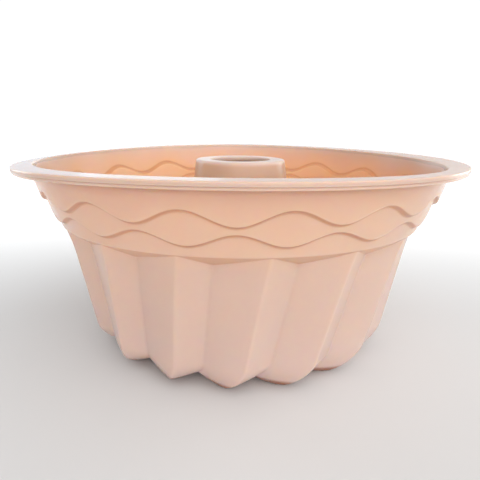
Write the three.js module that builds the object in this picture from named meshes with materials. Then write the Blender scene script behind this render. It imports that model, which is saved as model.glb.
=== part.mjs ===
// A fluted ring cake mould of soft silicone, in millimetres. +Z is up, the mould stands on z = 0 with its mouth up,
// and the origin lies on its axis. An azimuth of 0 faces -Y and grows towards +X.
import * as THREE from 'three';

// Overall sizes
const rimRadius = 125;
const height = 112;
const wall = 2.4;
const peach = '#e0b497';

// Rim flange: a flat ring that stands out past the collar, with a rounded upper edge and a slightly smaller lip under
// its parting line
const rimOverhang = 8;
const rimThickness = 3.4;
const rimLipHeight = 1.4;
const rimLipInset = 0.5;
const rimEdgeRadius = 1.2;
const mouthEdgeRadius = 0.8;

// Wave collar: three tiers, each stepping in under a wave line. Its depths are measured down from the rim's top.
const collarRadius = rimRadius - rimOverhang;
const collarDepth = 34;
const collarDraft = 0.292;
const tierStep = 2.1;
const lowestTier = 2;
const stepSlope = 0.7;
const upperWaveDepth = 16;
const upperWaveRise = 3.4;
const lowerWaveDepth = 26;
const lowerWaveRise = 2.75;
const waveCount = 16;
const wavePhase = THREE.MathUtils.degToRad(-0.6);

// Fluted wall: saw-tooth flutes that turn a little as they go down, under a sloping ledge
const fluteCount = 16;
const flutePhase = THREE.MathUtils.degToRad(7.4);
const fluteDepth = 6;
const valleyShare = 0.38;
const ridgeFlat = 0.12;
const wallDraft = 0.216;
const ledgeWidth = 0.372;
const ledgeDrop = 0.75;
const wallTwist = THREE.MathUtils.degToRad(6.7);

// Ring-shaped channel floor, split by a slit at its lowest circle so that the tube can be pushed up
const floorArc = 20;
const floorTwist = THREE.MathUtils.degToRad(7.4);
const padDepth = 0.5;
const floorSlit = 0.3;
const innerLift = 0.3;

// Centre tube, which ends a little below the rim, and the lip round the hole at its top
const tubeDepth = 2.5;
const tubeRadius = 27.7;
const tubeDraft = 0.13;
const holeRadius = 18.2;
const lipThickness = 3;
const lipEdgeRadius = 1.6;

// Fineness of the facets
const wavePoints = 8;
const tubeColumns = 48;
const wallRows = 4;
const floorRows = 5;
const edgeSteps = 3;

// Derived places
const rimUnderside = height - rimThickness;
const collarFoot = height - collarDepth;
const upperWaveHeight = height - upperWaveDepth;
const lowerWaveHeight = height - lowerWaveDepth;
const ridgeRadius = tierRadius(collarFoot, lowestTier) - ledgeWidth;
const wallLean = Math.atan(wallDraft);
const wallFoot = floorArc * (1 - Math.sin(wallLean)) - padDepth;
const wallFootRadius = ridgeRadius - wallDraft * (collarFoot - wallFoot);
const floorRadius = wallFootRadius - floorArc * Math.cos(wallLean);
const padShare = (Math.asin(1 - padDepth / floorArc) - wallLean) / (Math.PI / 2 - wallLean);
const tubeTop = height - tubeDepth;
const tubeLean = Math.atan(tubeDraft);
const hollowRadius = tubeRadius - wall;
const innerArc = (floorRadius - hollowRadius - tubeDraft * (tubeTop + padDepth)) * Math.cos(tubeLean)
  / (1 - Math.sin(tubeLean));
const tubeFoot = innerArc * (1 - Math.sin(tubeLean)) - padDepth;

function silicone() {
  return new THREE.MeshStandardMaterial({ color: peach, roughness: 0.55, metalness: 0 });
}

// A ring from a closed loop of stations, up along its outer side and down along its inner side. Each station is a
// function of the column's azimuth and gives radius, height and any turn about the axis.
function ringMesh(name, azimuths, stations) {
  const loop = stations.map((station) => {
    const start = station(azimuths[0]);
    return new THREE.Vector2(start.radius, start.z);
  });
  loop.push(loop[0]);
  const geometry = new THREE.LatheGeometry(loop, azimuths.length);
  const position = geometry.getAttribute('position');
  for (let column = 0; column <= azimuths.length; column += 1) {
    const azimuth = azimuths[column % azimuths.length];
    for (let row = 0; row < loop.length; row += 1) {
      const { radius, z, turn = 0 } = stations[row % stations.length](azimuth);
      const x = radius * Math.sin(azimuth + turn);
      const y = -radius * Math.cos(azimuth + turn);
      position.setXYZ(column * loop.length + row, x, y, z);
    }
  }
  const mesh = new THREE.Mesh(geometry, silicone());
  mesh.name = name;
  return mesh;
}

function evenAzimuths(count, first = 0) {
  return Array.from({ length: count }, (_, index) => first + (2 * Math.PI * index) / count);
}

// Columns of the rim and the collar, with one on each crest and trough of the waves
function waveAzimuths() {
  return evenAzimuths(waveCount * wavePoints, wavePhase);
}

function plainStation(radius, z) {
  return () => ({ radius, z });
}

// Stations along a quarter-circle edge, from one angle to another about a centre in the section
function edgeStations(centreRadius, centreZ, edgeRadius, fromAngle, toAngle) {
  return Array.from({ length: edgeSteps + 1 }, (_, index) => {
    const angle = fromAngle + ((toAngle - fromAngle) * index) / edgeSteps;
    return plainStation(centreRadius + edgeRadius * Math.cos(angle), centreZ + edgeRadius * Math.sin(angle));
  });
}

// Outer radius of a collar tier, counted from 0 at the top
function tierRadius(z, tier) {
  return collarRadius - collarDraft * (height - z) - tier * tierStep;
}

function upperWave(azimuth) {
  return upperWaveHeight - upperWaveRise * Math.cos(waveCount * (azimuth - wavePhase));
}

function lowerWave(azimuth) {
  return lowerWaveHeight + lowerWaveRise * Math.cos(waveCount * (azimuth - wavePhase));
}

// Columns of the fluted pieces: the two shoulders of each ridge, its valley and the middle of its wide facet
const fluteShares = [ridgeFlat * valleyShare, valleyShare, (1 + valleyShare) / 2, 1 - ridgeFlat * (1 - valleyShare)];

function fluteAzimuths() {
  const pitch = (2 * Math.PI) / fluteCount;
  const azimuths = [];
  for (let flute = 0; flute < fluteCount; flute += 1) {
    fluteShares.forEach((share) => azimuths.push(flutePhase + (flute + share) * pitch));
  }
  return azimuths;
}

// How far a column lies below the ridges, from 0 on a ridge to 1 in a valley
function fluteCut(azimuth) {
  const turns = ((azimuth - flutePhase) * fluteCount) / (2 * Math.PI);
  const share = turns - Math.floor(turns);
  const saw = share < valleyShare ? share / valleyShare : (1 - share) / (1 - valleyShare);
  return Math.max(0, (saw - ridgeFlat) / (1 - ridgeFlat));
}

function wallTurn(z) {
  return (-wallTwist * (collarFoot - z)) / collarFoot;
}

function ridgeLine(z) {
  return ridgeRadius - wallDraft * (collarFoot - z);
}

// Height at which the ledge under the collar meets the flutes
function ledgeFoot(azimuth) {
  const edge = tierRadius(collarFoot, lowestTier);
  const inset = (edge - ridgeRadius + fluteCut(azimuth) * fluteDepth) / (1 - wallDraft * ledgeDrop);
  return collarFoot - inset * ledgeDrop;
}

function wallStation(share, inset) {
  return (azimuth) => {
    const z = wallFoot + (ledgeFoot(azimuth) - wallFoot) * share;
    return { radius: ridgeLine(z) - fluteCut(azimuth) * fluteDepth - inset, z, turn: wallTurn(z) };
  };
}

function ledgeStation(inset) {
  return (azimuth) => {
    const turn = wallTurn(ledgeFoot(azimuth));
    return { radius: tierRadius(collarFoot, lowestTier) - inset, z: collarFoot, turn };
  };
}

// Outer half of the channel floor. The section runs along an arc from the foot of the wall to the lowest circle,
// and the flutes and the wall lie square to a direction that turns from outwards to straight down.
function outerFloorStation(share, inset) {
  const arcAngle = wallLean + (Math.PI / 2 - wallLean) * share;
  const inwards = (Math.PI / 2) * share;
  return (azimuth) => {
    const cut = fluteCut(azimuth) * fluteDepth;
    const lowest = Math.max(0, floorArc * (1 - Math.sin(arcAngle)) - padDepth + cut * Math.sin(inwards));
    const radius = floorRadius + floorArc * Math.cos(arcAngle) - (cut + inset) * Math.cos(inwards);
    return {
      radius: Math.max(radius, floorRadius + floorSlit / 2),
      z: lowest + inset * Math.sin(inwards),
      turn: wallTurn(wallFoot) - floorTwist * share,
    };
  };
}

// Inner half of the channel floor, from the lowest circle up to the foot of the tube, where the flutes have faded
function innerFloorStation(share, inset) {
  const arcAngle = (Math.PI / 2) - (Math.PI / 2 - tubeLean) * share;
  const upwards = (Math.PI / 2) * (1 - share);
  return (azimuth) => {
    const cut = fluteCut(azimuth) * fluteDepth * (1 - share);
    const lowest = innerArc * (1 - Math.sin(arcAngle)) - padDepth + cut * Math.sin(upwards);
    const radius = floorRadius - innerArc * Math.cos(arcAngle) + (cut + inset) * Math.cos(upwards);
    return {
      radius: Math.min(radius, floorRadius - floorSlit / 2),
      z: Math.max(innerLift, lowest) + inset * Math.sin(upwards),
      turn: wallTurn(wallFoot) - floorTwist,
    };
  };
}

function shares(rows) {
  return Array.from({ length: rows + 1 }, (_, index) => index / rows);
}

// The underside is split where the collar ends, so that the part which stands out is free all over
function makeRimFlange() {
  const mouth = tierRadius(height, 0) - wall;
  const lipRadius = rimRadius - rimLipInset;
  const partingHeight = rimUnderside + rimLipHeight;
  return ringMesh('rim_flange', waveAzimuths(), [
    plainStation(mouth, rimUnderside),
    plainStation(tierRadius(rimUnderside, 0), rimUnderside),
    plainStation(lipRadius, rimUnderside),
    plainStation(lipRadius, partingHeight),
    plainStation(rimRadius, partingHeight),
    ...edgeStations(rimRadius - rimEdgeRadius, height - rimEdgeRadius, rimEdgeRadius, 0, Math.PI / 2),
    ...edgeStations(mouth + mouthEdgeRadius, height - mouthEdgeRadius, mouthEdgeRadius, Math.PI / 2, Math.PI),
  ]);
}

// The inner side follows the outer tiers one wall thickness further in, with its wave lines as much higher
function makeWaveCollar() {
  const edges = [
    () => ({ tier: lowestTier, z: collarFoot, lift: 0 }),
    (azimuth) => ({ tier: lowestTier, z: lowerWave(azimuth) - stepSlope, lift: wall }),
    (azimuth) => ({ tier: 1, z: lowerWave(azimuth), lift: wall }),
    (azimuth) => ({ tier: 1, z: upperWave(azimuth) - stepSlope, lift: wall }),
    (azimuth) => ({ tier: 0, z: upperWave(azimuth), lift: wall }),
    () => ({ tier: 0, z: rimUnderside, lift: 0 }),
  ];
  const outerStations = edges.map((edge) => (azimuth) => {
    const { tier, z } = edge(azimuth);
    return { radius: tierRadius(z, tier), z };
  });
  const innerStations = edges.map((edge) => (azimuth) => {
    const { tier, z, lift } = edge(azimuth);
    return { radius: tierRadius(z + lift, tier) - wall, z: z + lift };
  });
  return ringMesh('wave_collar', waveAzimuths(), [...outerStations, ...innerStations.reverse()]);
}

function makeFlutedWall() {
  const rising = shares(wallRows);
  return ringMesh('fluted_wall', fluteAzimuths(), [
    ...rising.map((share) => wallStation(share, 0)),
    ledgeStation(0),
    ledgeStation(wall),
    ...rising.reverse().map((share) => wallStation(share, wall)),
  ]);
}

// Each ridge ends in a small flat pad, and the mould stands on these pads
function makeOuterFloor() {
  const falling = [...shares(floorRows - 1).map((share) => share * padShare), 1];
  return ringMesh('outer_floor', fluteAzimuths(), [
    ...falling.map((share) => outerFloorStation(share, wall)),
    ...falling.reverse().map((share) => outerFloorStation(share, 0)),
  ]);
}

function makeInnerFloor() {
  const rising = shares(floorRows);
  return ringMesh('inner_floor', fluteAzimuths(), [
    ...rising.map((share) => innerFloorStation(share, wall)),
    ...rising.reverse().map((share) => innerFloorStation(share, 0)),
  ]);
}

function makeCentreTube() {
  const lipFoot = tubeTop - lipThickness;
  const footRadius = hollowRadius + tubeDraft * (tubeTop - tubeFoot);
  const topRadius = hollowRadius + tubeDraft * lipThickness;
  return ringMesh('centre_tube', evenAzimuths(tubeColumns), [
    plainStation(footRadius + wall, tubeFoot),
    plainStation(topRadius + wall, lipFoot),
    plainStation(topRadius, lipFoot),
    plainStation(footRadius, tubeFoot),
  ]);
}

function makeTubeLip() {
  const lipFoot = tubeTop - lipThickness;
  const footRadius = tubeRadius + tubeDraft * lipThickness;
  return ringMesh('tube_lip', evenAzimuths(tubeColumns), [
    plainStation(holeRadius, lipFoot),
    plainStation(footRadius, lipFoot),
    ...edgeStations(tubeRadius - lipEdgeRadius, tubeTop - lipEdgeRadius, lipEdgeRadius, 0, Math.PI / 2),
    ...edgeStations(holeRadius + mouthEdgeRadius, tubeTop - mouthEdgeRadius, mouthEdgeRadius, Math.PI / 2, Math.PI),
  ]);
}

const mould = new THREE.Group();
mould.add(makeRimFlange());
mould.add(makeWaveCollar());
mould.add(makeFlutedWall());
mould.add(makeOuterFloor());
mould.add(makeInnerFloor());
mould.add(makeCentreTube());
mould.add(makeTubeLip());

export default mould;
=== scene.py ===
"""Looks of a fluted ring cake mould of soft peach silicone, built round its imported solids."""
import math
import bpy
import numpy as np
from mathutils import Matrix, Vector


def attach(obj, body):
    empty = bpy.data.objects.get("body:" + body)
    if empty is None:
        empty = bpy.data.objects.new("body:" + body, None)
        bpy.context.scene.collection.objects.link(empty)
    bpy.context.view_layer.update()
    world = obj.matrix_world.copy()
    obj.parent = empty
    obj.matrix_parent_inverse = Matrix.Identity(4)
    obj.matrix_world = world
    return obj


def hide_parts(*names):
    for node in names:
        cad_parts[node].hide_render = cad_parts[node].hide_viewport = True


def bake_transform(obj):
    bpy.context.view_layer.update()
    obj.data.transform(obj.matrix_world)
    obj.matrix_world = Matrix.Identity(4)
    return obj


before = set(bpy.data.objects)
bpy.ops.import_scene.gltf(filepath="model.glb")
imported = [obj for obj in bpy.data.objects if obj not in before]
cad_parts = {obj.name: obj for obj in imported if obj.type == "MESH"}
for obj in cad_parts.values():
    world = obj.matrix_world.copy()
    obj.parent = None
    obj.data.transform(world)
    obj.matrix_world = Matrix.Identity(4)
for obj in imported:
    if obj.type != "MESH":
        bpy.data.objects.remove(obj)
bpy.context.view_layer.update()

# Sizes are in millimetres, near those of the solids. An azimuth of 0 faces -Y and grows towards +X.
MM = 0.001
HEIGHT = 112.0
WALL = 2.4

# Rim: a flat flange whose edge has a parting line, with a narrower lip under it
RIM_RADIUS = 125.0
RIM_THICKNESS = 3.4
RIM_LIP_HEIGHT = 1.4
RIM_LIP_INSET = 0.5

# Collar: three tiers that step in at two wave lines, each step from STEP_TOP to STEP_FOOT beside its line
COLLAR_RADIUS = 117.0
COLLAR_DRAFT = 0.292
COLLAR_FOOT = 78.0
TIER_STEP = 2.1
STEP_TOP = 0.2
STEP_FOOT = -0.9
UPPER_WAVE_HEIGHT = 96.0
UPPER_WAVE_RISE = 3.4
LOWER_WAVE_HEIGHT = 86.0
LOWER_WAVE_RISE = 2.75
WAVES = 16
WAVE_PHASE = math.radians(-0.6)

# Wall: saw-tooth flutes that turn as they go down, under a sloping ledge
FLUTES = 16
FLUTE_PHASE = math.radians(7.75)
FLUTE_DEPTH = 6.0
VALLEY_SHARE = 0.38
RIDGE_RADIUS = 102.5
WALL_DRAFT = 0.216
LEDGE_DROP = 0.75
WALL_TWIST = math.radians(6.85)

# Floor: the lobes' feet are rounder, deeper and more twisted than in the solids, and flat where they stand
FLOOR_ARC = 26.4
FLOOR_TWIST = math.radians(12.9)
FLOOR_TWIST_POWER = 1.2
PAD_DEPTH = 3.5
LOW_FLUTE_DEPTH = 8.0
LOW_VALLEY_SHARE = 0.48

# Tube, a little slimmer than in the solids, and the lip round its hole
TUBE_TOP = 109.5
TUBE_RADIUS = 26.9
TUBE_DRAFT = 0.13
HOLE_RADIUS = 18.2
LIP_THICKNESS = 3.0

# Derived places
RIM_UNDERSIDE = HEIGHT - RIM_THICKNESS
WALL_LEAN = math.atan(WALL_DRAFT)
WALL_FOOT = FLOOR_ARC * (1 - math.sin(WALL_LEAN)) - PAD_DEPTH
FLOOR_RADIUS = RIDGE_RADIUS - WALL_DRAFT * (COLLAR_FOOT - WALL_FOOT) - FLOOR_ARC * math.cos(WALL_LEAN)
TUBE_LEAN = math.atan(TUBE_DRAFT)
HOLLOW_RADIUS = TUBE_RADIUS - WALL
INNER_ARC = ((FLOOR_RADIUS - HOLLOW_RADIUS - TUBE_DRAFT * (TUBE_TOP + PAD_DEPTH)) * math.cos(TUBE_LEAN)
             / (1 - math.sin(TUBE_LEAN)))
TUBE_FOOT = INNER_ARC * (1 - math.sin(TUBE_LEAN)) - PAD_DEPTH

# The soft shell droops and widens at its sides, and its flange hangs on the left and lifts on the right
SAG = 2.6
SAG_DEPTH = 67.0
FLANGE_TILT = 1.3
BULGE_HEIGHTS = (0.0, 15.0, 68.0, COLLAR_FOOT, HEIGHT)
BULGE_WIDTHS = (0.0, 1.4, 0.2, 1.7, 1.5)
BULGE_START = 12.0

# Roundings across the flutes: half widths as shares of a flute
RIDGE_ROUND = 0.03
LOBE_ROUND = 0.061
LOBE_ROUND_POWER = 0.7
VALLEY_ROUND = 0.025

# Roundings along the section: reach to both sides of a corner, and the largest share of a side that it takes
STEP_ROUND = 0.8
LEDGE_ROUND = 0.6
RIM_FOOT_ROUND = 1.0
RIM_LIP_ROUND = 0.5
PARTING_FOOT_ROUND = 0.15
PARTING_ROUND = 0.2
RIM_EDGE_ROUND = 0.7
MOUTH_ROUND = 0.9
SHOULDER_ROUND = 1.5
HOLE_ROUND = 0.8
HOLE_FOOT_ROUND = 0.6
HOLLOW_ROUND = 0.8
LARGEST_ROUND = 0.45
SHORTEST_SIDE = 1e-6

# Fineness of the skins: columns at each ridge and valley and across the faces, and rows along the section
RIDGE_COLUMNS = 7
VALLEY_COLUMNS = 5
NARROW_COLUMNS = 14
WIDE_COLUMNS = 22
CORNER_STEPS = 4
WALL_ROWS = 9
OUTER_FLOOR_ROWS = 13
INNER_FLOOR_ROWS = 15
TUBE_ROWS = 24

# Colour by the share of the height: paler and pinker on the flutes, duller on the rim.
# Partly painted light: the pale, bluish flute feet stand in for light from the floor, the more orange collar
# for light through its wall.
OUTER_COLOURS = (
    (0.0, (0.596, 0.459, 0.413)),
    (0.35, (0.598, 0.449, 0.380)),
    (0.62, (0.600, 0.446, 0.367)),
    (0.72, (0.645, 0.455, 0.348)),
    (0.96, (0.650, 0.450, 0.335)),
    (0.97, (0.640, 0.450, 0.355)),
    (0.981, (0.650, 0.455, 0.365)),
    (0.986, (0.560, 0.420, 0.345)),
    (0.998, (0.620, 0.440, 0.358)),
    (1.0, (0.620, 0.445, 0.370)),
)
# Painted light: the deep orange at the foot of the channel stands in for warm light bounced between its
# walls.
INNER_COLOURS = (
    (0.0, (0.850, 0.500, 0.280)),
    (0.25, (0.660, 0.440, 0.290)),
    (0.7, (0.650, 0.430, 0.270)),
    (1.0, (0.650, 0.430, 0.265)),
)
# The tube's table starts with the same painted warm light at the channel's foot.
TUBE_COLOURS = (
    (0.0, (0.850, 0.500, 0.280)),
    (0.25, (0.660, 0.440, 0.290)),
    (0.80, (0.600, 0.400, 0.290)),
    (0.955, (0.610, 0.410, 0.300)),
    # Painted highlight: the pale top of the tube
    (0.970, (0.650, 0.510, 0.460)),
    (1.0, (0.650, 0.510, 0.460)),
)

# Roughness of the satin outside, the duller inside and the tube, which is satin only towards its top
OUTER_GLOSS = (0.20, 0.27)
INNER_GLOSS = (0.55, 0.65)
TUBE_GLOSS = (0.28, 0.32)
TUBE_DULL_BELOW = 25.0
TUBE_SATIN_ABOVE = 60.0

# How far light travels in the silicone, in metres, and how that changes up to the rim and away from the seam
WALL_GLOW = 0.008
RIM_GLOW = 0.0030
SEAM_GLOW = 0.0008
RIM_GLOW_SHARES = (0.955, 0.972)
SEAM_GLOW_REACH = (3.0, 18.0)
TRAVEL_BY_COLOUR = (1.0, 0.60, 0.28)
SILICONE_IOR = 1.45

# Faint mottle of the colour, and fine grain of the surface with its depth in metres
MOTTLE_SCALE = 38.0
MOTTLE_DETAIL = 4.0
MOTTLE_TONES = (0.96, 1.04)
GRAIN_SCALE = 2600.0
GRAIN_DETAIL = 2.0
GRAIN_STRENGTH = 0.3
GRAIN_DEPTH = 0.00004

# Painted shade in the creases, where ambient occlusion finds other surfaces within this reach in millimetres
CREASE_REACH = 7.0
CREASE_SHADE_COLOUR = (0.51, 0.26, 0.15)
CREASE_FULL_SHADE = 0.50
CREASE_NO_SHADE = 0.85
CREASE_SAMPLES = 8

# Painted shade on the downward-facing wave steps, in a line at the inner steps and on the ledge under the
# collar. The shades' heights are counted from a wave line.
PAINTED_SHADE_COLOUR = (0.78, 0.66, 0.61)
PAINTED_SHADE_FADE = 0.9
INNER_SHADE_FADE = 1.4
OUTER_SHADE_HEIGHTS = (STEP_FOOT - PAINTED_SHADE_FADE, STEP_FOOT + 0.1, STEP_TOP - 0.2, STEP_TOP + 0.1)
INNER_SHADE_HEIGHTS = (STEP_FOOT - 0.6, STEP_FOOT, STEP_TOP + 0.3, STEP_TOP + INNER_SHADE_FADE)
SHADES = (0, 1, 1, 0)
LEDGE_PAINTED_SHADE = 0.45
LEDGE_SHADE_BELOW = 0.1
LEDGE_SHADE_SHORT = 0.2

# Even glow of the studio and its brighter sides: azimuth, elevation in degrees, sharpness, strength, limit
STUDIO_GLOW = 0.45
STUDIO_SIDES = (
    (0, 0, 4, 1.55, 9),
    (0, 30, 4, 0.57, 9),
    (45, 30, 4, 1.44, 9),
    (95, 35, 4, 0.19, 9),
    (180, 0, 8, 2.14, 0.6),
)

# Softboxes: name, azimuth and elevation in degrees, distance and size in metres, watts, colour
LAMPS = (
    ("left", -118, 14, 1.0, 0.35, 1.4, (0.90, 0.96, 1.0)),
    ("back", -166, 8, 1.2, 0.45, 0.45, (0.80, 0.92, 1.0)),
    ("back_left", -146, 12, 1.2, 0.50, 0.30, (0.25, 0.65, 1.0)),
    ("right", 118, 12, 1.0, 0.35, 1.85, (0.96, 0.98, 1.0)),
)
LAMP_AIM = (0, 0, 0.08)

# Pale floor, in metres, which glows towards the back
FLOOR_REACH = 1.2
FLOOR_SIDES = 96
FLOOR_LEVEL = -0.0003
FLOOR_SHADE = 0.72
FLOOR_ROUGHNESS = 0.8
FLOOR_GLOW = 0.385
FLOOR_GLOW_START = 0.0
FLOOR_GLOW_FULL = 0.35

# The photograph's camera: a close one, a little above the rim, in metres and pixels
CAMERA_DISTANCE = 0.2733
CAMERA_HEIGHT = 0.1316
CAMERA_PITCH = math.radians(15.08)
CAMERA_ROLL = math.radians(0.634)
CAMERA_YAW = math.radians(-0.07)
CAMERA_NEAREST = 0.01
SENSOR_WIDTH = 36.0
FOCAL_PIXELS = 440.6
FRAME_PIXELS = 480


def flute_columns():
    """Azimuths of the columns of the skin, close together at the ridges and valleys."""
    ridge = np.linspace(-RIDGE_ROUND, RIDGE_ROUND, RIDGE_COLUMNS)
    valley = VALLEY_SHARE + np.linspace(-VALLEY_ROUND, VALLEY_ROUND, VALLEY_COLUMNS)
    narrow = np.linspace(ridge[-1], valley[0], NARROW_COLUMNS)[1:-1]
    wide = np.linspace(valley[-1], 1 + ridge[0], WIDE_COLUMNS)[1:-1]
    shares = np.concatenate([ridge, narrow, valley, wide])
    turns = np.arange(FLUTES)[:, None] + shares[None, :]
    return FLUTE_PHASE + turns.ravel() * 2 * math.pi / FLUTES


# Azimuth of every column, and its place within its flute from ridge to ridge
AZIMUTHS = flute_columns()
FLUTE_SHARES = np.mod((AZIMUTHS - FLUTE_PHASE) * FLUTES / (2 * math.pi), 1.0)


def soft_corner(offset, slope_before, slope_after, half_width):
    """Height of a corner between two slopes that leave it on either side, rounded within half_width."""
    sharp = np.where(offset < 0, -slope_before * offset, slope_after * offset)
    bend = (slope_before + slope_after) / (4 * half_width)
    tilt = (slope_after - slope_before) / 2
    soft = bend * offset ** 2 + tilt * offset + half_width * (slope_before + slope_after) / 4
    return np.where(np.abs(offset) < half_width, soft, sharp)


def flute_cut(ridge_round):
    """How far each column lies below the ridges, from 0 on a ridge to 1 in a valley."""
    narrow_slope = 1 / VALLEY_SHARE
    wide_slope = 1 / (1 - VALLEY_SHARE)
    from_ridge = np.where(FLUTE_SHARES < VALLEY_SHARE, FLUTE_SHARES, FLUTE_SHARES - 1)
    from_valley = FLUTE_SHARES - VALLEY_SHARE
    ridge = soft_corner(from_ridge, wide_slope, narrow_slope, ridge_round)
    valley = 1 - soft_corner(from_valley, narrow_slope, wide_slope, VALLEY_ROUND)
    return np.where(np.abs(from_valley) < VALLEY_ROUND, valley, ridge)


# Depth of the flutes on the wall at every column
CUT = flute_cut(RIDGE_ROUND) * FLUTE_DEPTH


def lobe_cut(share):
    """Depth of the flutes under the wall: their ridges get rounder and they deepen to the lowest circle."""
    ridge_round = RIDGE_ROUND + (LOBE_ROUND - RIDGE_ROUND) * share ** LOBE_ROUND_POWER
    return flute_cut(ridge_round) * (FLUTE_DEPTH + (LOW_FLUTE_DEPTH - FLUTE_DEPTH) * share)


def valley_drift(share):
    """How far the valleys drift round the axis there, with the columns beside them."""
    drift = (LOW_VALLEY_SHARE - VALLEY_SHARE) * share
    shift = np.interp(FLUTE_SHARES, (0, VALLEY_SHARE, 1), (0, drift, 0))
    return shift * 2 * math.pi / FLUTES


def row(radius, z, turn=0.0):
    """One ring of points of a skin: radius, height and azimuth at every column."""
    return np.stack(np.broadcast_arrays(radius, z, AZIMUTHS + turn), axis=-1)


def tier_radius(z, tier):
    """Outer radius of a tier of the collar, counted from the top."""
    return COLLAR_RADIUS - COLLAR_DRAFT * (HEIGHT - z) - tier * TIER_STEP


def tier_row(z, tier, inset=0.0):
    """A ring of points on a tier, or that far inside it."""
    return row(tier_radius(z, tier) - inset, z)


def wave(level, rise):
    """Height of a wave line at every column."""
    return level + rise * np.cos(WAVES * (AZIMUTHS - WAVE_PHASE))


def wall_turn(z):
    """How far the flutes have turned at a height."""
    return -WALL_TWIST * (COLLAR_FOOT - z) / COLLAR_FOOT


def ledge_foot():
    """Height at which the ledge under the collar meets the flutes."""
    inset = (tier_radius(COLLAR_FOOT, 2) - RIDGE_RADIUS + CUT) / (1 - WALL_DRAFT * LEDGE_DROP)
    return COLLAR_FOOT - inset * LEDGE_DROP


def wall_row(share, inset):
    """A ring of points on the fluted wall, from its foot to the ledge."""
    z = WALL_FOOT + (ledge_foot() - WALL_FOOT) * share
    return row(RIDGE_RADIUS - WALL_DRAFT * (COLLAR_FOOT - z) - CUT - inset, z, wall_turn(z))


def outer_floor_row(share, inset):
    """Outer half of the channel floor, from the foot of the wall to the lowest circle."""
    arc_angle = WALL_LEAN + (math.pi / 2 - WALL_LEAN) * share
    inwards = math.pi / 2 * share
    cut = lobe_cut(share)
    lowest = np.maximum(0, FLOOR_ARC * (1 - math.sin(arc_angle)) - PAD_DEPTH + cut * math.sin(inwards))
    radius = FLOOR_RADIUS + FLOOR_ARC * math.cos(arc_angle) - (cut + inset) * math.cos(inwards)
    turn = wall_turn(WALL_FOOT) - FLOOR_TWIST * share ** FLOOR_TWIST_POWER + valley_drift(share)
    return row(np.maximum(radius, FLOOR_RADIUS), lowest + inset * math.sin(inwards), turn)


def inner_floor_row(share, inset):
    """Inner half of the channel floor, from the lowest circle to the tube, where the flutes have faded."""
    arc_angle = math.pi / 2 - (math.pi / 2 - TUBE_LEAN) * share
    upwards = math.pi / 2 * (1 - share)
    cut = lobe_cut(1) * (1 - share)
    lowest = np.maximum(0, INNER_ARC * (1 - math.sin(arc_angle)) - PAD_DEPTH + cut * math.sin(upwards))
    radius = FLOOR_RADIUS - INNER_ARC * math.cos(arc_angle) + (cut + inset) * math.cos(upwards)
    turn = wall_turn(WALL_FOOT) - FLOOR_TWIST + valley_drift(1)
    return row(np.minimum(radius, FLOOR_RADIUS), lowest + inset * math.sin(upwards), turn)


def plain(rows):
    """Rows as corners that aren't rounded."""
    return [(one, 0) for one in rows]


def row_count(corners):
    """How many rows rounded() makes of these corners."""
    return sum(1 if reach == 0 else CORNER_STEPS + 1 for _, reach in corners)


def rounded(corners):
    """Rows along a section, with each corner that has a reach rounded off that far to both sides."""
    rows = []
    for index, (corner, reach) in enumerate(corners):
        if reach == 0:
            rows.append(corner)
            continue
        ends = []
        for neighbour in (corners[index - 1][0], corners[index + 1][0]):
            way = neighbour - corner
            length = np.maximum(np.hypot(way[:, 0], way[:, 1]), SHORTEST_SIDE)
            ends.append(corner + way * np.minimum(LARGEST_ROUND, reach / length)[:, None])
        for t in np.linspace(0, 1, CORNER_STEPS + 1):
            rows.append((1 - t) ** 2 * ends[0] + 2 * t * (1 - t) * corner + t ** 2 * ends[1])
    return rows


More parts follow.
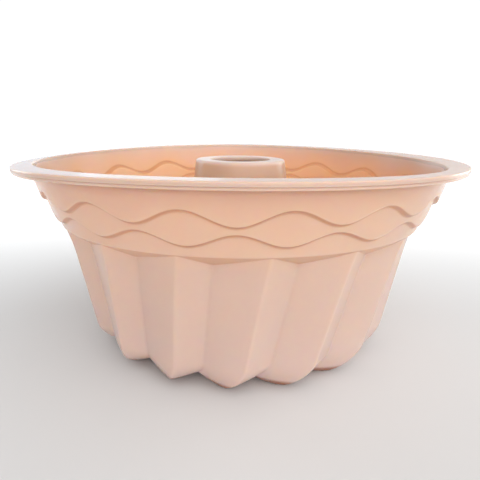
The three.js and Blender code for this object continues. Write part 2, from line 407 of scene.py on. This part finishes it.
def shell_rows():
    """Rim, collar, flutes and the outer half of the floor, as one skin, and how many rows are outside."""
    upper = wave(UPPER_WAVE_HEIGHT, -UPPER_WAVE_RISE)
    lower = wave(LOWER_WAVE_HEIGHT, LOWER_WAVE_RISE)
    floor_shares = np.linspace(1, 0, OUTER_FLOOR_ROWS)
    wall_shares = np.linspace(0, 1, WALL_ROWS)
    lip_radius = RIM_RADIUS - RIM_LIP_INSET
    parting = RIM_UNDERSIDE + RIM_LIP_HEIGHT
    mouth = tier_radius(HEIGHT, 0) - WALL
    outside = plain([outer_floor_row(share, 0) for share in floor_shares])
    outside += plain([wall_row(share, 0) for share in wall_shares[1:-1]])
    outside += [
        (wall_row(1, 0), LEDGE_ROUND),
        (tier_row(COLLAR_FOOT, 2), LEDGE_ROUND),
        # Rows a fade below each step, where the painted shade under it ends
        (tier_row(lower + STEP_FOOT - PAINTED_SHADE_FADE, 2), 0),
        (tier_row(lower + STEP_FOOT, 2), STEP_ROUND),
        (tier_row(lower + STEP_TOP, 1), STEP_ROUND),
        (tier_row(upper + STEP_FOOT - PAINTED_SHADE_FADE, 1), 0),
        (tier_row(upper + STEP_FOOT, 1), STEP_ROUND),
        (tier_row(upper + STEP_TOP, 0), STEP_ROUND),
        (tier_row(RIM_UNDERSIDE, 0), RIM_FOOT_ROUND),
        (row(lip_radius, RIM_UNDERSIDE), RIM_LIP_ROUND),
        (row(lip_radius, parting), PARTING_FOOT_ROUND),
        (row(RIM_RADIUS, parting), PARTING_ROUND),
        (row(RIM_RADIUS, HEIGHT), RIM_EDGE_ROUND),
        (row(mouth, HEIGHT), MOUTH_ROUND),
    ]
    inside = [
        # Rows a fade above each inner step, where its painted shade line ends
        (tier_row(upper + STEP_TOP + INNER_SHADE_FADE, 0, WALL), 0),
        (tier_row(upper + STEP_TOP, 0, WALL), STEP_ROUND),
        (tier_row(upper + STEP_FOOT, 1, WALL), STEP_ROUND),
        (tier_row(lower + STEP_TOP + INNER_SHADE_FADE, 1, WALL), 0),
        (tier_row(lower + STEP_TOP, 1, WALL), STEP_ROUND),
        (tier_row(lower + STEP_FOOT, 2, WALL), STEP_ROUND),
        (tier_row(COLLAR_FOOT, 2, WALL), LEDGE_ROUND),
        (wall_row(1, WALL), LEDGE_ROUND),
    ]
    inside += plain([wall_row(share, WALL) for share in wall_shares[-2:0:-1]])
    inside += plain([outer_floor_row(share, WALL) for share in floor_shares[::-1]])
    return np.array(rounded(outside + inside)), row_count(outside)


def tube_rows():
    """Inner half of the floor, tube and lip, as one skin, and how many rows are on the channel's side."""
    shares = np.linspace(0, 1, INNER_FLOOR_ROWS)
    lip_foot = TUBE_TOP - LIP_THICKNESS
    hollow_top = HOLLOW_RADIUS + TUBE_DRAFT * LIP_THICKNESS
    outside = plain([inner_floor_row(share, WALL) for share in shares])
    outside += plain([row(TUBE_RADIUS + TUBE_DRAFT * (TUBE_TOP - z), z)
                      for z in np.linspace(TUBE_FOOT, TUBE_TOP, TUBE_ROWS)[1:-1]])
    outside += [
        (row(TUBE_RADIUS, TUBE_TOP), SHOULDER_ROUND),
        (row(HOLE_RADIUS, TUBE_TOP), HOLE_ROUND),
        (row(HOLE_RADIUS, lip_foot), HOLE_FOOT_ROUND),
        (row(hollow_top, lip_foot), HOLLOW_ROUND),
    ]
    inside = plain([row(HOLLOW_RADIUS + TUBE_DRAFT * (TUBE_TOP - z), z)
                    for z in np.linspace(lip_foot, TUBE_FOOT, TUBE_ROWS)[1:-1]])
    inside += plain([inner_floor_row(share, 0) for share in shares[::-1]])
    return np.array(rounded(outside + inside)), row_count(outside)


def soften(grid):
    """The shell as its own weight leaves it."""
    radius, z, azimuth = grid[..., 0], grid[..., 1], grid[..., 2]
    sideways = np.sin(azimuth)
    mouth = tier_radius(HEIGHT, 0) - WALL
    bulge = np.interp(z, BULGE_HEIGHTS, BULGE_WIDTHS) * np.clip((radius - FLOOR_RADIUS) / BULGE_START, 0, 1)
    droop = SAG * np.clip(1 + (z - HEIGHT) / SAG_DEPTH, 0, 1) * sideways ** 2
    lift = FLANGE_TILT * np.clip((radius - mouth) / (RIM_RADIUS - mouth), 0, 1) * sideways ** 3
    return np.stack([radius + bulge * sideways ** 2, z - droop + lift, azimuth], axis=-1)


def painted_shade_mask(grid, outer_rows):
    """1 where shade is painted on the wave steps, with a fade beside them, and less painted shade on the
    ledge.
    """
    z = grid[..., 1]
    painted_shade = np.zeros(z.shape)
    for level, rise in ((UPPER_WAVE_HEIGHT, -UPPER_WAVE_RISE), (LOWER_WAVE_HEIGHT, LOWER_WAVE_RISE)):
        above = z - wave(level, rise)
        outer_shade = np.interp(above, OUTER_SHADE_HEIGHTS, SHADES)
        inner_shade = np.interp(above, INNER_SHADE_HEIGHTS, SHADES)
        painted_shade[:outer_rows] = np.maximum(painted_shade, outer_shade)[:outer_rows]
        painted_shade[outer_rows:] = np.maximum(painted_shade, inner_shade)[outer_rows:]
    ledge = ledge_foot()
    on_ledge = (z > ledge - LEDGE_SHADE_BELOW) & (z < COLLAR_FOOT - LEDGE_SHADE_SHORT)
    on_ledge[outer_rows:] = False
    return np.where(on_ledge, LEDGE_PAINTED_SHADE, painted_shade)


def inner_side(grid, outer_rows):
    """0 on the outer side of a skin and 1 on its inner side."""
    side = np.zeros(grid.shape[:2])
    side[outer_rows:] = 1.0
    return side


def channel_dullness(grid):
    """The tube is satin at its top and as dull as the rest of the channel at its foot."""
    return np.interp(grid[..., 1], (TUBE_DULL_BELOW, TUBE_SATIN_ABOVE), (1, 0))


def light_reach(grid, channel_rows):
    """How far light travels: less in the thick rim and, in the channel, beside its lowest circle."""
    radius, z = grid[..., 0], grid[..., 1]
    reach = np.interp(z / HEIGHT, RIM_GLOW_SHARES, (WALL_GLOW, RIM_GLOW))
    from_seam = np.hypot(radius - FLOOR_RADIUS, z)[channel_rows]
    beside_seam = np.interp(from_seam, SEAM_GLOW_REACH, (SEAM_GLOW, WALL_GLOW))
    reach[channel_rows] = np.minimum(reach[channel_rows], beside_seam)
    return reach


def mark_seam(mesh, count_columns):
    """The first and last ring of a skin stay sharp, because the other skin meets it there."""
    ends = np.empty(2 * len(mesh.edges), dtype=np.int32)
    mesh.edges.foreach_get("vertices", ends)
    ends = ends.reshape(-1, 2)
    on_first = ends.max(axis=1) < count_columns
    on_last = ends.min(axis=1) >= len(mesh.vertices) - count_columns
    sharp = mesh.attributes.new("sharp_edge", "BOOLEAN", "EDGE")
    sharp.data.foreach_set("value", on_first | on_last)


def skin_mesh(name, grid, point_values, material):
    """A closed ring of quads from its rows, which go up the outer side and down the inner side."""
    radius, z, azimuth = grid[..., 0], grid[..., 1], grid[..., 2]
    points = np.stack([radius * np.sin(azimuth), -radius * np.cos(azimuth), z], axis=-1) * MM
    count_rows, count_columns = radius.shape
    ids = np.arange(count_rows * count_columns).reshape(count_rows, count_columns)
    right = np.roll(ids, -1, axis=1)
    up = np.roll(ids, -1, axis=0)
    up_right = np.roll(up, -1, axis=1)
    faces = np.stack([ids, right, up_right, up], axis=-1).reshape(-1, 4)
    mesh = bpy.data.meshes.new(name)
    mesh.from_pydata(points.reshape(-1, 3).tolist(), [], faces.tolist())
    mesh.validate()
    mesh.polygons.foreach_set("use_smooth", [True] * len(mesh.polygons))
    for value_name, values in point_values.items():
        mesh.attributes.new(value_name, "FLOAT", "POINT").data.foreach_set("value", values.ravel())
    mark_seam(mesh, count_columns)
    mesh.materials.append(material)
    skin = bpy.data.objects.new(name, mesh)
    bpy.context.scene.collection.objects.link(skin)
    skin.modifiers.new("even_shading", "WEIGHTED_NORMAL").keep_sharp = True
    return skin


def add_value(nodes, name):
    """One of the values that a skin's points carry."""
    value = nodes.new("ShaderNodeAttribute")
    value.attribute_name = name
    return value.outputs["Fac"]


def add_ramp(nodes, colours):
    """A colour ramp node with the given stops."""
    ramp = nodes.new("ShaderNodeValToRGB")
    stops = ramp.color_ramp.elements
    stops[0].color = (*colours[0][1], 1)
    stops[1].color = (*colours[-1][1], 1)
    for position, colour in colours[1:-1]:
        stops.new(position).color = (*colour, 1)
    return ramp


def add_range(nodes, low, high):
    """A node that maps 0 to 1 onto another span."""
    span = nodes.new("ShaderNodeMapRange")
    span.inputs["To Min"].default_value = low
    span.inputs["To Max"].default_value = high
    return span


def add_noise(nodes, links, scale, detail):
    """A noise that sticks to the piece."""
    place = nodes.new("ShaderNodeTexCoord")
    noise = nodes.new("ShaderNodeTexNoise")
    noise.inputs["Scale"].default_value = scale
    noise.inputs["Detail"].default_value = detail
    links.new(place.outputs["Object"], noise.inputs["Vector"])
    return noise.outputs["Fac"]


def side_colour(nodes, links, outer_colours, inner_colours):
    """Colour by height on the outer and on the inner side of a skin."""
    height = add_value(nodes, "height_share")
    outer = add_ramp(nodes, outer_colours)
    inner = add_ramp(nodes, inner_colours)
    sides = nodes.new("ShaderNodeMix")
    sides.data_type = "RGBA"
    links.new(height, outer.inputs["Fac"])
    links.new(height, inner.inputs["Fac"])
    links.new(add_value(nodes, "inside"), sides.inputs["Factor"])
    links.new(outer.outputs["Color"], sides.inputs["A"])
    links.new(inner.outputs["Color"], sides.inputs["B"])
    return sides.outputs["Result"]


def painted_shade_tint(nodes, links):
    """White, or painted shade on the wave steps and the ledge."""
    shade = nodes.new("ShaderNodeMix")
    shade.data_type = "RGBA"
    shade.inputs["A"].default_value = (1, 1, 1, 1)
    shade.inputs["B"].default_value = (*PAINTED_SHADE_COLOUR, 1)
    links.new(add_value(nodes, "painted_shade"), shade.inputs["Factor"])
    return shade.outputs["Result"]


def crease_shade(nodes, links):
    """White, or painted shade in the creases."""
    crease = nodes.new("ShaderNodeAmbientOcclusion")
    crease.samples = CREASE_SAMPLES
    crease.inputs["Distance"].default_value = CREASE_REACH * MM
    shade = nodes.new("ShaderNodeValToRGB")
    shade.color_ramp.elements[0].position = CREASE_FULL_SHADE
    shade.color_ramp.elements[0].color = (*CREASE_SHADE_COLOUR, 1)
    shade.color_ramp.elements[1].position = CREASE_NO_SHADE
    links.new(crease.outputs["AO"], shade.inputs["Fac"])
    return shade.outputs["Color"]


def multiplied(nodes, links, colour, shade):
    """One colour times another."""
    product = nodes.new("ShaderNodeVectorMath")
    product.operation = "MULTIPLY"
    links.new(colour, product.inputs[0])
    links.new(shade, product.inputs[1])
    return product.outputs["Vector"]


def silicone_colour(nodes, links, mottle, outer_colours, inner_colours):
    """Colour of a side, with painted shade on its steps and ledge, mottled, and with painted shade in its
    creases.
    """
    sides = side_colour(nodes, links, outer_colours, inner_colours)
    dimmed = multiplied(nodes, links, sides, painted_shade_tint(nodes, links))
    shade = add_range(nodes, *MOTTLE_TONES)
    tone = nodes.new("ShaderNodeVectorMath")
    tone.operation = "SCALE"
    links.new(mottle, shade.inputs["Value"])
    links.new(dimmed, tone.inputs["Vector"])
    links.new(shade.outputs["Result"], tone.inputs["Scale"])
    return multiplied(nodes, links, tone.outputs["Vector"], crease_shade(nodes, links))


def silicone_roughness(nodes, links, mottle, outer_gloss, inner_gloss):
    """Roughness of the satin and of the dull places of a skin, with the mottle in both."""
    outer_shine = add_range(nodes, *outer_gloss)
    inner_shine = add_range(nodes, *inner_gloss)
    shine = nodes.new("ShaderNodeMix")
    links.new(mottle, outer_shine.inputs["Value"])
    links.new(mottle, inner_shine.inputs["Value"])
    links.new(add_value(nodes, "dull"), shine.inputs["Factor"])
    links.new(outer_shine.outputs["Result"], shine.inputs["A"])
    links.new(inner_shine.outputs["Result"], shine.inputs["B"])
    return shine.outputs["Result"]


def silicone_material(name, outer_colours, inner_colours, outer_gloss, inner_gloss):
    """Satin peach silicone: translucent, paler on the flutes, which is partly painted light, with painted
    shade in its creases and on its steps, a faint mottle and a fine grain.
    """
    material = bpy.data.materials.new(name)
    material.use_nodes = True
    nodes = material.node_tree.nodes
    links = material.node_tree.links
    shader = nodes["Principled BSDF"]
    mottle = add_noise(nodes, links, MOTTLE_SCALE, MOTTLE_DETAIL)
    colour = silicone_colour(nodes, links, mottle, outer_colours, inner_colours)
    roughness = silicone_roughness(nodes, links, mottle, outer_gloss, inner_gloss)
    bump = nodes.new("ShaderNodeBump")
    bump.inputs["Strength"].default_value = GRAIN_STRENGTH
    bump.inputs["Distance"].default_value = GRAIN_DEPTH
    links.new(add_noise(nodes, links, GRAIN_SCALE, GRAIN_DETAIL), bump.inputs["Height"])
    links.new(colour, shader.inputs["Base Color"])
    links.new(roughness, shader.inputs["Roughness"])
    links.new(bump.outputs["Normal"], shader.inputs["Normal"])
    links.new(add_value(nodes, "light_reach"), shader.inputs["Subsurface Scale"])
    shader.inputs["IOR"].default_value = SILICONE_IOR
    shader.inputs["Subsurface Weight"].default_value = 1.0
    shader.inputs["Subsurface Radius"].default_value = TRAVEL_BY_COLOUR
    return material


def make_floor():
    """A pale round floor that glows more towards the back."""
    material = bpy.data.materials.new("pale_floor")
    material.use_nodes = True
    nodes = material.node_tree.nodes
    links = material.node_tree.links
    shader = nodes["Principled BSDF"]
    shader.inputs["Base Color"].default_value = (FLOOR_SHADE, FLOOR_SHADE, FLOOR_SHADE, 1)
    shader.inputs["Roughness"].default_value = FLOOR_ROUGHNESS
    shader.inputs["Emission Color"].default_value = (1, 1, 1, 1)
    place = nodes.new("ShaderNodeTexCoord")
    depth = nodes.new("ShaderNodeSeparateXYZ")
    glow = nodes.new("ShaderNodeMapRange")
    glow.interpolation_type = "SMOOTHSTEP"
    glow.inputs["From Min"].default_value = FLOOR_GLOW_START
    glow.inputs["From Max"].default_value = FLOOR_GLOW_FULL
    glow.inputs["To Max"].default_value = FLOOR_GLOW
    links.new(place.outputs["Object"], depth.inputs["Vector"])
    links.new(depth.outputs["Y"], glow.inputs["Value"])
    links.new(glow.outputs["Result"], shader.inputs["Emission Strength"])
    bpy.ops.mesh.primitive_circle_add(
        vertices=FLOOR_SIDES, radius=FLOOR_REACH, fill_type="NGON", location=(0, 0, FLOOR_LEVEL))
    floor = bpy.context.object
    floor.name = "floor"
    floor.data.materials.append(material)


def direction(azimuth, elevation):
    """Unit vector towards an azimuth and elevation in degrees."""
    turn, rise = math.radians(azimuth), math.radians(elevation)
    return Vector((math.sin(turn) * math.cos(rise), -math.cos(turn) * math.cos(rise), math.sin(rise)))


def add_math(nodes, links, operation, first, second):
    """A node that works on a value and a number, or on two values."""
    step = nodes.new("ShaderNodeMath")
    step.operation = operation
    links.new(first, step.inputs[0])
    if isinstance(second, (int, float)):
        step.inputs[1].default_value = second
    else:
        links.new(second, step.inputs[1])
    return step.outputs[0]


def make_studio():
    """A studio that glows softly on each side, strongest where that side is faced squarely."""
    world = bpy.data.worlds.new("studio")
    bpy.context.scene.world = world
    world.use_nodes = True
    nodes = world.node_tree.nodes
    links = world.node_tree.links
    nodes.clear()
    place = nodes.new("ShaderNodeTexCoord")
    total = None
    for azimuth, elevation, sharpness, strength, limit in STUDIO_SIDES:
        facing = nodes.new("ShaderNodeVectorMath")
        facing.operation = "DOT_PRODUCT"
        facing.inputs[1].default_value = direction(azimuth, elevation)
        links.new(place.outputs["Generated"], facing.inputs[0])
        seen = add_math(nodes, links, "MAXIMUM", facing.outputs["Value"], 0.0)
        lobe = add_math(nodes, links, "POWER", seen, sharpness)
        glow = add_math(nodes, links, "MULTIPLY", lobe, strength)
        side = add_math(nodes, links, "MINIMUM", glow, limit)
        total = side if total is None else add_math(nodes, links, "ADD", total, side)
    evened = add_math(nodes, links, "ADD", total, STUDIO_GLOW)
    background = nodes.new("ShaderNodeBackground")
    background.inputs["Color"].default_value = (1, 1, 1, 1)
    output = nodes.new("ShaderNodeOutputWorld")
    links.new(evened, background.inputs["Strength"])
    links.new(background.outputs["Background"], output.inputs["Surface"])


def make_lamps():
    """Square softboxes that face the middle of the mould."""
    for name, azimuth, elevation, distance, size, power, colour in LAMPS:
        data = bpy.data.lights.new(name, "AREA")
        data.shape = "SQUARE"
        data.size = size
        data.energy = power
        data.color = colour
        lamp = bpy.data.objects.new(name, data)
        lamp.location = direction(azimuth, elevation) * distance
        lamp.rotation_euler = (Vector(LAMP_AIM) - lamp.location).to_track_quat("-Z", "Y").to_euler()
        lamp.visible_camera = False
        bpy.context.scene.collection.objects.link(lamp)


def make_camera():
    """The camera that took the photograph."""
    data = bpy.data.cameras.new("camera")
    data.sensor_width = SENSOR_WIDTH
    data.lens = SENSOR_WIDTH * FOCAL_PIXELS / FRAME_PIXELS
    data.clip_start = CAMERA_NEAREST
    camera = bpy.data.objects.new("camera", data)
    turn = (Matrix.Rotation(CAMERA_YAW, 4, "Z") @ Matrix.Rotation(math.pi / 2 - CAMERA_PITCH, 4, "X")
            @ Matrix.Rotation(CAMERA_ROLL, 4, "Z"))
    camera.matrix_world = Matrix.Translation((0, -CAMERA_DISTANCE, CAMERA_HEIGHT)) @ turn
    bpy.context.scene.collection.objects.link(camera)
    bpy.context.scene.camera = camera


make_camera()
make_studio()
make_lamps()
make_floor()
bpy.context.scene.view_settings.view_transform = "Standard"

shell_grid, shell_outside = shell_rows()
shell_silicone = silicone_material("shell_silicone", OUTER_COLOURS, INNER_COLOURS, OUTER_GLOSS, INNER_GLOSS)
shell_inside = inner_side(shell_grid, shell_outside)
shell_values = {
    "height_share": shell_grid[..., 1] / HEIGHT,
    "inside": shell_inside,
    "dull": shell_inside,
    # Painted shade on the wave steps and the ledge
    "painted_shade": painted_shade_mask(shell_grid, shell_outside),
    "light_reach": light_reach(shell_grid, slice(shell_outside, None)),
}
shell_skin = skin_mesh("shell_skin", soften(shell_grid), shell_values, shell_silicone)
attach(shell_skin, "shell")
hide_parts("rim_flange", "wave_collar", "fluted_wall", "outer_floor")

# The mould's floor stretches between its lowest circle, which stays, and the tube, which moves. Here its
# inner half is one skin with the tube.
tube_grid, tube_outside = tube_rows()
tube_silicone = silicone_material("tube_silicone", TUBE_COLOURS, OUTER_COLOURS, TUBE_GLOSS, INNER_GLOSS)
tube_inside = inner_side(tube_grid, tube_outside)
tube_values = {
    "height_share": tube_grid[..., 1] / HEIGHT,
    "inside": tube_inside,
    "dull": np.maximum(tube_inside, channel_dullness(tube_grid)),
    "painted_shade": np.zeros(tube_grid.shape[:2]),
    "light_reach": light_reach(tube_grid, slice(0, tube_outside)),
}
tube_skin = skin_mesh("tube_skin", tube_grid, tube_values, tube_silicone)
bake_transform(tube_skin)
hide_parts("inner_floor", "centre_tube", "tube_lip")
